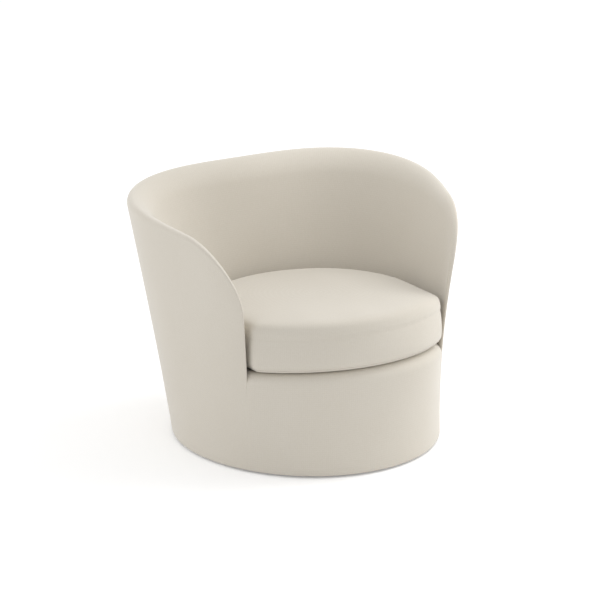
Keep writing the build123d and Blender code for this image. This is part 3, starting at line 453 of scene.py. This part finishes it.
def weave_material():
    """Tight plain weave of slubby polyester yarn: a pale, even, matt face whose nap lightens at its edges,
    with painted shade between its yarns.

    The real yarns lie 0.9 mm apart. Their bands come out 2 pi times as wide, 5.7 mm, which is as coarse
    as they need to be to show."""
    yarn_mm, slub_mm, cloud_mm = 0.9, 4.0, 180.0
    made = material("greige_woven_polyester", "#CDC8BC", 0.86, 0.0, 0.4)
    place = node(made, "ShaderNodeTexCoord")
    threads = []
    for direction in ("X", "Y"):
        threads.append(node(made, "ShaderNodeTexWave",
                            {"bands_direction": direction, "Scale": 1000 / yarn_mm / 20, "Distortion": 0.4,
                             "Detail": 1.0}, {"Vector": place.outputs["UV"]}))
    weave = node(made, "ShaderNodeMath", {"operation": "MULTIPLY"},
                 {0: threads[0].outputs["Fac"], 1: threads[1].outputs["Fac"]})
    slub = node(made, "ShaderNodeTexNoise", {"Scale": 1000 / slub_mm, "Detail": 4.0, "Roughness": 0.6},
                {"Vector": place.outputs["Object"]})
    cloud = node(made, "ShaderNodeTexNoise", {"Scale": 1000 / cloud_mm, "Detail": 2.0},
                 {"Vector": place.outputs["Object"]})
    # The weave's share of this tone darkens the gaps between the yarns: painted shade. The slubs and slow
    # clouds are the yarn's own uneven colour.
    weave_shade_and_slub_tone = node(made, "ShaderNodeMath", {"operation": "MULTIPLY_ADD", 1: 0.35},
                {0: weave.outputs[0], 2: slub.outputs["Fac"]})
    weave_shade_and_slub_tone = node(made, "ShaderNodeMath", {"operation": "MULTIPLY_ADD", 1: 0.4},
                {0: cloud.outputs["Fac"], 2: weave_shade_and_slub_tone.outputs[0]})
    ramp = node(made, "ShaderNodeMapRange", {"From Min": 0.35, "From Max": 1.15}, {"Value": weave_shade_and_slub_tone.outputs[0]})
    tint(made, "#CAC3B6", "#D2CCC1", ramp.outputs[0])
    relief = node(made, "ShaderNodeMath", {"operation": "MULTIPLY_ADD", 1: 0.5},
                  {0: slub.outputs["Fac"], 2: weave.outputs[0]})
    bump(made, relief.outputs[0], 0.05)
    return made


greige = weave_material()
tub = tub_points(half_columns)
tub_cover = sewn_panel("tub_cover", tub, (2.3, 1.25))
smooth(tub_cover)
thicken(tub_cover, cloth_thickness)
crisp_edges(tub_cover)
tub_cover.data.materials.append(greige)
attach(tub_cover, "chair_body")
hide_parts("outside_cover", "inside_cover", "arm_nose_facing_left", "arm_nose_facing_right",
            "outside_wadding", "arm_nose_pad_left", "arm_nose_pad_right", "arm_foam_left",
            "arm_foam_right", "back_foam")

# Front border
# The same cloth over the front of the body: it rolls over the front edge and runs in under the
# cushion as a wide lip. Its sides are tucked in behind the noses and blind stitched.

border_roll, border_depth = 30.0, 85.0
tuck_angle, tuck_depth = 1.2, 1.9
rows_front, rows_roll, rows_lip = 30, 13, 8


def border_points(columns):
    """Points of the border from the turned hem up the front, over the edge and along the lip."""
    edges = np.array([nose_azimuth + tuck_angle, nose_azimuth + 0.5 * tuck_angle, nose_azimuth])
    azimuth = np.concatenate([-edges, np.linspace(-nose_azimuth, nose_azimuth, columns)[1:-1], edges[::-1]])
    inset = np.where(np.abs(azimuth) > nose_azimuth, tuck_depth, 0.0)
    along = -np.cos(np.radians(azimuth))
    radius = outer_radius(np.abs(azimuth), deck_front)
    drop = deck_height((radius - border_roll) * along)
    rows = []
    for low, tuck in hem_fold:
        rows.append(spots(azimuth, outer_radius(np.abs(azimuth), low) - tuck - inset, low))
    for step in np.linspace(0, 1, rows_front)[1:]:
        z = hem_top + (drop - border_roll - hem_top) * step
        rows.append(spots(azimuth, outer_radius(np.abs(azimuth), z) - inset, z))
    start = outer_radius(np.abs(azimuth), drop - border_roll) - inset
    for turn in np.linspace(0, 90, rows_roll)[1:]:
        r = start - border_roll + border_roll * math.cos(math.radians(turn))
        rows.append(spots(azimuth, r, drop - border_roll + border_roll * math.sin(math.radians(turn))))
    for step in np.linspace(0, 1, rows_lip)[1:]:
        r = start - border_roll - (border_depth - border_roll) * step
        rows.append(spots(azimuth, r, deck_height(r * along)))
    return np.stack(rows, 1)


border = border_points(121)
front_border = sewn_panel("front_border", border, (0.7, 0.42))
smooth(front_border)
thicken(front_border, cloth_thickness)
crisp_edges(front_border)
front_border.data.materials.append(greige)
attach(front_border, "chair_body")
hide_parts("front_border_cover", "front_border_pad")

# Deck
# Padded cloth under the cushion, tacked into the well and tucked beneath the lip of the border. Its
# felt makes it 11 mm thick, and it sags a little in the middle.

deck_clearance, lip_overlap = 1.5, 74.0
side_azimuth, side_blend, widest_wall = 46.0, 8.0, 380.0
deck_drop, deck_sag, deck_thickness = 2.2, 3.0, 11.0


def deck_points(columns, rows):
    """Points of the deck on rings from its middle out to the walls."""
    azimuth = np.linspace(-180, 180, columns)
    turn = np.abs(azimuth)
    wall = well_radius(turn) - deck_clearance
    front = outer_radius(turn, deck_front) - lip_overlap
    mix = np.clip((turn - side_azimuth) / side_blend, 0, 1)
    mix = mix * mix * (3 - 2 * mix)
    edge = front + (np.minimum(wall, widest_wall) - front) * mix
    table = []
    for share in np.linspace(0.0, 1, rows):
        r = edge * share
        y = -r * np.cos(np.radians(azimuth))
        sag = deck_sag * (1 - share ** 2)
        table.append(spots(azimuth, r, deck_height(y) - deck_drop - sag))
    return np.stack(table, 1)


def weld(piece):
    """Joins the panel's edges where they meet, and smooths it."""
    bpy.ops.object.mode_set(mode="EDIT")
    bpy.ops.mesh.select_all(action="SELECT")
    bpy.ops.mesh.remove_doubles(threshold=0.00005)
    bpy.ops.object.mode_set(mode="OBJECT")
    smooth(piece)


def face_up(piece):
    """Turns an open panel over where it faces down."""
    if piece.data.polygons[0].normal.z < 0:
        bpy.ops.object.mode_set(mode="EDIT")
        bpy.ops.mesh.select_all(action="SELECT")
        bpy.ops.mesh.flip_normals()
        bpy.ops.object.mode_set(mode="OBJECT")


deck = deck_points(145, 22)
deck_cover = sewn_panel("seat_deck", deck, (1.8, 0.33))
weld(deck_cover)
face_up(deck_cover)
thicken(deck_cover, deck_thickness)
deck_cover.data.materials.append(greige)
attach(deck_cover, "chair_body")
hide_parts("deck_cover", "deck_pad")

# Dust cover
# Black spun cloth stapled under the mounting board, from the swivel plate out to the bottom ring. It
# hangs slack by a millimetre or two.

board_foot, ring_foot, plate_radius, ring_inset = 30.2, 9.0, 115.0, 65.3
plate_gap, ring_gap, board_gap = 0.5, 0.4, 0.25
slack_depth, slack_waves, dust_thickness = 1.6, 5, 0.6


def dust_material():
    """Thin black spun cloth: the dimples of its bonding, 1.8 mm apart, give a faint dotted face."""
    made = material("spun_dust_cloth", "#17171A", 0.95)
    place = node(made, "ShaderNodeTexCoord")
    dots = node(made, "ShaderNodeTexVoronoi", {"Scale": 1000 / 1.8}, {"Vector": place.outputs["UV"]})
    tint(made, "#101012", "#26262A", dots.outputs["Distance"])
    bump(made, dots.outputs["Distance"], 0.1)
    return made


def dust_points(columns, rows):
    """Points of the dust cover on rings from the swivel plate out to the bottom ring."""
    azimuth = np.linspace(-180, 180, columns)
    reach = np.minimum(outer_radius(azimuth, ring_foot), outer_radius(azimuth, board_foot))
    reach = reach - ring_inset - ring_gap
    table = []
    for share in np.linspace(0, 1, rows):
        r = plate_radius + plate_gap + (reach - plate_radius - plate_gap) * share
        waves = 1 + 0.35 * np.sin(np.radians(azimuth * slack_waves))
        slack = slack_depth * np.sin(np.pi * share) ** 0.7 * waves
        table.append(spots(azimuth, r, board_foot - board_gap - slack))
    return np.stack(table, 1)


dust = dust_points(145, 16)
dust_cloth = sewn_panel("dust_cloth", dust, (1.5, 0.2))
weld(dust_cloth)
face_up(dust_cloth)
thicken(dust_cloth, dust_thickness)
dust_cloth.data.materials.append(dust_material())
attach(dust_cloth, "chair_body")
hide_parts("dust_cover")

# Seat cushion
# A loose boxed cushion with a bowed front, straight sides and a round back: foam in a soft wrap,
# crowned on top, its sides drawn in at the two seams. The zip lies in a shallow recess at the back.

# Its plan: the gaps to the well, and the radii of its bowed front, its sides and its front corners.
cushion_gap, cushion_back_gap = 2.0, 6.0
cushion_bow, cushion_side, cushion_corner = 376.0, 390.0, 24.0
# Heights over the deck of its underside, lower seam, upper seam and shoulder, and the crown over that.
cushion_foot, cushion_low, cushion_high, cushion_edge, cushion_crown = 0.4, 12.0, 104.0, 135.0, 17.0
# The y of the points that its rings and its zip are drawn round, and the zip's reach to each side.
cushion_middle_y, zip_middle_y = -62.0, -6.0
zip_half_angle, zip_recess = 46.0, 3.2
# Depths of its puckers, sways, hollow and folds.
pucker_depth, sway_depth = 0.32, 0.5
hollow_depth, front_fold_depth, side_fold_depth = 3.2, 0.7, 0.5


def cushion_plan(count):
    """Outline of the cushion on the flat, evenly spaced, starting at the middle of the back."""
    half = well_half - cushion_gap
    rear = well_back - cushion_back_gap
    depth = rear - well_round
    back = (half ** 2 - 2 * half * cushion_side + depth ** 2) / (2 * (depth - cushion_side))
    centre_y = rear - back
    turn = math.degrees(math.atan2(centre_y - well_round, cushion_side - half))
    front = outer_radius(0.0, deck_front) + 1.0
    bow_y = cushion_bow - front
    run = []
    for angle in np.linspace(90, turn, 60):
        run.append((back * math.cos(math.radians(angle)), centre_y + back * math.sin(math.radians(angle))))
    for angle in np.linspace(turn, 0, 40)[1:]:
        run.append((half - cushion_side + cushion_side * math.cos(math.radians(angle)),
                    well_round + cushion_side * math.sin(math.radians(angle))))
    fillet = cushion_corner
    reach = cushion_bow - fillet
    fx = half - fillet
    fy = bow_y - math.sqrt(reach ** 2 - fx ** 2)
    stop = math.degrees(math.atan2(fy - bow_y, fx))
    run += [(half, y) for y in np.linspace(well_round, fy, 30)[1:]]
    for angle in np.linspace(0, stop, 24)[1:]:
        run.append((fx + fillet * math.cos(math.radians(angle)), fy + fillet * math.sin(math.radians(angle))))
    for angle in np.linspace(stop, -90, 60)[1:]:
        run.append((cushion_bow * math.cos(math.radians(angle)),
                    bow_y + cushion_bow * math.sin(math.radians(angle))))
    run = np.array(run)
    other = run[::-1][1:].copy()
    other[:, 0] *= -1
    run = np.concatenate([run, other])
    length = np.concatenate([[0], np.cumsum(np.linalg.norm(np.diff(run, axis=0), axis=1))])
    even = np.linspace(0, length[-1], count)
    return np.stack([np.interp(even, length, run[:, 0]), np.interp(even, length, run[:, 1])], 1)


def seat_place(points):
    """Puts points drawn on the flat onto the tilted deck."""
    front = outer_radius(0.0, deck_front)
    angle = math.radians(seat_pitch)
    y, z = points[..., 1] + front, points[..., 2]
    return np.stack([points[..., 0], -front + y * math.cos(angle) + z * math.sin(angle),
                     deck_front - y * math.sin(angle) + z * math.cos(angle)], -1)


def cushion_points(columns):
    """Points of the cushion from the middle of its underside, up its sides and over its crown."""
    plan = cushion_plan(columns)
    centre = np.array([0.0, cushion_middle_y])
    zip_centre = np.array([0.0, zip_middle_y])
    zip_middle = (cushion_low + cushion_high) / 2
    rows = []

    def ring(keep, height, dip=0.0):
        """Adds the outline, drawn in to a share of itself, with a dip along the zip."""
        flat = centre + (plan - centre) * keep
        way = flat - zip_centre
        turn = np.abs(np.degrees(np.arctan2(way[:, 0], way[:, 1])))
        depth = dip * np.clip((zip_half_angle + 1.6 - turn) / 1.2, 0, 1)
        flat = flat - way / np.maximum(np.linalg.norm(way, axis=1), 1)[:, None] * depth[:, None]
        rows.append(np.concatenate([flat, np.full((columns, 1), height)], 1))

    for keep in np.linspace(0.0, 0.87, 12):
        ring(keep, cushion_foot)
    for turn in np.linspace(0, 80, 7)[1:]:
        angle = math.radians(turn)
        ring(0.87 + 0.096 * math.sin(angle), cushion_foot + 11.0 * (1 - math.cos(angle)))
    for keep, rise in ((0.972, -1.0), (0.970, 0.0), (0.973, 1.0)):
        ring(keep, cushion_low + rise)
    even = cushion_low + 1 + (cushion_high - cushion_low - 2) * np.linspace(0, 1, 26)[1:-1]
    sides = [(z, 0.0) for z in even if abs(z - zip_middle) > 10]
    for up in (-8.6, -7.7, -7.3, -3.6, 0, 3.6, 7.3, 7.7, 8.6):
        sides.append((zip_middle + up, zip_recess if abs(up) < 7.5 else 0))
    for z, dip in sorted(sides):
        step = (z - cushion_low - 1) / (cushion_high - cushion_low - 2)
        drawn = 0.016 * math.exp(-(z - cushion_low - 1) / 7.0)
        ring(0.99 + 0.01 * math.sin(math.pi * min(step * 1.02, 1)) ** 0.6 - drawn, z, dip)
    crest = cushion_edge + cushion_crown
    for up, keep in ((0.0, 0.996), (0.12, 0.996), (0.24, 0.995), (0.36, 0.992), (0.46, 0.988), (0.553, 0.982),
                     (0.63, 0.973), (0.70, 0.960), (0.755, 0.942), (0.80, 0.918), (0.835, 0.886),
                     (0.862, 0.845), (0.883, 0.795), (0.904, 0.735), (0.923, 0.66), (0.942, 0.575),
                     (0.960, 0.485), (0.975, 0.39), (0.987, 0.29), (0.995, 0.19), (0.999, 0.09), (1.0, 0.0)):
        ring(keep, cushion_high + (crest - cushion_high) * up)
    return np.stack(rows, 1)


def settle(table):
    """Moves the flat-drawn cushion as wear does: puckers at its seams, a sat-in hollow and soft folds."""
    columns = table.shape[0]
    around = np.linspace(0, 2 * np.pi, columns)[:, None]
    # The whole numbers count waves round the cushion: quick ones for puckers, slow ones for sways.
    x, y, z = table[..., 0], table[..., 1], table[..., 2]
    ripple = (np.sin(67 * around + 0.7) + 0.7 * np.sin(41 * around + 2.1 * np.sin(3 * around))
              + 0.5 * np.sin(103 * around + 1.3))
    near = 0.8 * np.exp(-((z - cushion_high) / 8.0) ** 2) + 0.6 * np.exp(-((z - cushion_low) / 6.0) ** 2)
    near = near * np.clip((z - 3.0) / 4.0, 0, 1)
    wave = (np.sin(7 * around + 0.5) + 0.6 * np.sin(12 * around + 1.9)) * np.sin(
        np.pi * np.clip((z - cushion_low) / (cushion_high - cushion_low), 0, 1))
    move = pucker_depth * ripple * near + sway_depth * wave
    out = np.stack([x, y - cushion_middle_y], -1)
    out /= np.maximum(np.linalg.norm(out, axis=-1), 1.0)[..., None]
    top = np.clip((z - cushion_high - 12.0) / 30.0, 0, 1)
    hollow = hollow_depth * np.exp(-(x / 165.0) ** 2 - ((y + 40.0) / 150.0) ** 2)
    folds = front_fold_depth * np.sin(x / 23.0 + 1.4 * np.sin(y / 71.0)) * np.exp(-((y + 300.0) / 90.0) ** 2)
    folds += side_fold_depth * np.sin((x + 0.6 * y) / 31.0) * np.exp(-((np.abs(x) - 200.0) / 60.0) ** 2)
    made = table.copy()
    made[..., 0] += move * out[..., 0]
    made[..., 1] += move * out[..., 1]
    made[..., 2] += top * (folds - hollow)
    return seat_place(made) / 1000


cushion = settle(cushion_points(241))
seat_cushion = sewn_panel("seat_cushion", cushion, (2.1, 0.75))
weld(seat_cushion)
crisp_edges(seat_cushion)
seat_cushion.data.materials.append(greige)
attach(seat_cushion, "seat_cushion")
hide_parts("cushion_core", "cushion_wrap", "cushion_top_panel", "cushion_bottom_panel",
            "cushion_front_boxing", "cushion_zip_boxing")

# Zip
# A nylon coil zip round the back of the cushion, sewn into its boxing, with one small painted slider
# that runs along it.

# Moulded nylon coils look smooth and a shade darker than the cloth, and the slider's paint half glossy.
zip_cloth = plastic("zip_coil_nylon", "#BDB3A0", 0.5, 0.5)
zip_metal = metal("painted_zip_slider", "#B7AD9C", 0.4, 1.0)
wear(["zip_tape"], zip_cloth)
wear(["zip_slider"], zip_metal)

# Room
# A pale floor under soft studio light, and a far camera with a long lens at the photograph's angle.
# Lengths here are in metres.

floor_glow, sky_strength = 0.19, 0.82
chair_middle = (0, 0, 0.35)
camera_way = (-0.41098, -0.84979, 0.3302)
camera_target = (-0.0107, 0.0227, 0.3746)
camera_distance = 27.277


def floor_material():
    """Painted studio floor: looks white to the camera and keeps the shadow."""
    made = material("pale_floor", "#F4F4F4", 0.9)
    tree = made.node_tree
    rays = node(made, "ShaderNodeLightPath")
    level = node(made, "ShaderNodeMath", {"operation": "MULTIPLY", 1: floor_glow},
                 {0: rays.outputs["Is Camera Ray"]})
    glow = node(made, "ShaderNodeEmission", {}, {"Strength": level.outputs[0]})
    both = node(made, "ShaderNodeAddShader", {},
                {0: tree.nodes["Principled BSDF"].outputs[0], 1: glow.outputs[0]})
    tree.links.new(both.outputs[0], tree.nodes["Material Output"].inputs[0])
    return made


bpy.ops.mesh.primitive_plane_add(size=60, location=(0, 0, 0))
floor = bpy.context.object
floor.name = "floor"
floor.data.materials.append(floor_material())

world = bpy.data.worlds.new("studio")
bpy.context.scene.world = world
world.use_nodes = True
# The sky lights the chair softly, and looks plain white to the camera and in gloss.
sky = world.node_tree.nodes["Background"]
sky.inputs["Color"].default_value = (1, 1, 1, 1)
sky.inputs["Strength"].default_value = sky_strength
white = node(world, "ShaderNodeBackground", {"Color": (1, 1, 1, 1), "Strength": 1.0})
rays = node(world, "ShaderNodeLightPath")
either = node(world, "ShaderNodeMath", {"operation": "ADD", "use_clamp": True},
              {0: rays.outputs["Is Camera Ray"], 1: rays.outputs["Is Glossy Ray"]})
pick = node(world, "ShaderNodeMixShader", {},
            {0: either.outputs[0], 1: sky.outputs[0], 2: white.outputs[0]})
world.node_tree.links.new(pick.outputs[0], world.node_tree.nodes["World Output"].inputs[0])


def lamp(name, place, size, power):
    """A large soft lamp aimed at the middle of the chair."""
    made = bpy.data.lights.new(name, "AREA")
    made.shape = "RECTANGLE"
    made.size, made.size_y = size
    made.energy = power
    thing = bpy.data.objects.new(name, made)
    bpy.context.scene.collection.objects.link(thing)
    thing.location = place
    thing.rotation_mode = "QUATERNION"
    thing.rotation_quaternion = (Vector(chair_middle) - Vector(place)).to_track_quat("-Z", "Y")


lamp("high_right_light", (2.2, -0.2, 3.1), (1.6, 1.6), 43)
lamp("right_light", (3.4, 0.2, 1.5), (1.6, 2.0), 13)
lamp("front_right_light", (3.2, -1.6, 1.4), (1.8, 2.2), 16)
lamp("left_light", (-3.4, -0.6, 1.2), (1.8, 2.2), 4)
lamp("back_left_light", (-2.8, 2.4, 1.6), (1.4, 2.4), 27)

bpy.context.scene.view_settings.view_transform = "Standard"
camera_data = bpy.data.cameras.new("camera")
camera_data.sensor_width = 36.0
camera_data.lens = 600.0
camera_data.clip_start = 1.0
camera_data.clip_end = 200.0
camera = bpy.data.objects.new("camera", camera_data)
bpy.context.scene.collection.objects.link(camera)
way = Vector(camera_way).normalized()
camera.rotation_mode = "QUATERNION"
camera.rotation_quaternion = (-way).to_track_quat("-Z", "Y")
camera.location = Vector(camera_target) + way * camera_distance
bpy.context.scene.camera = camera
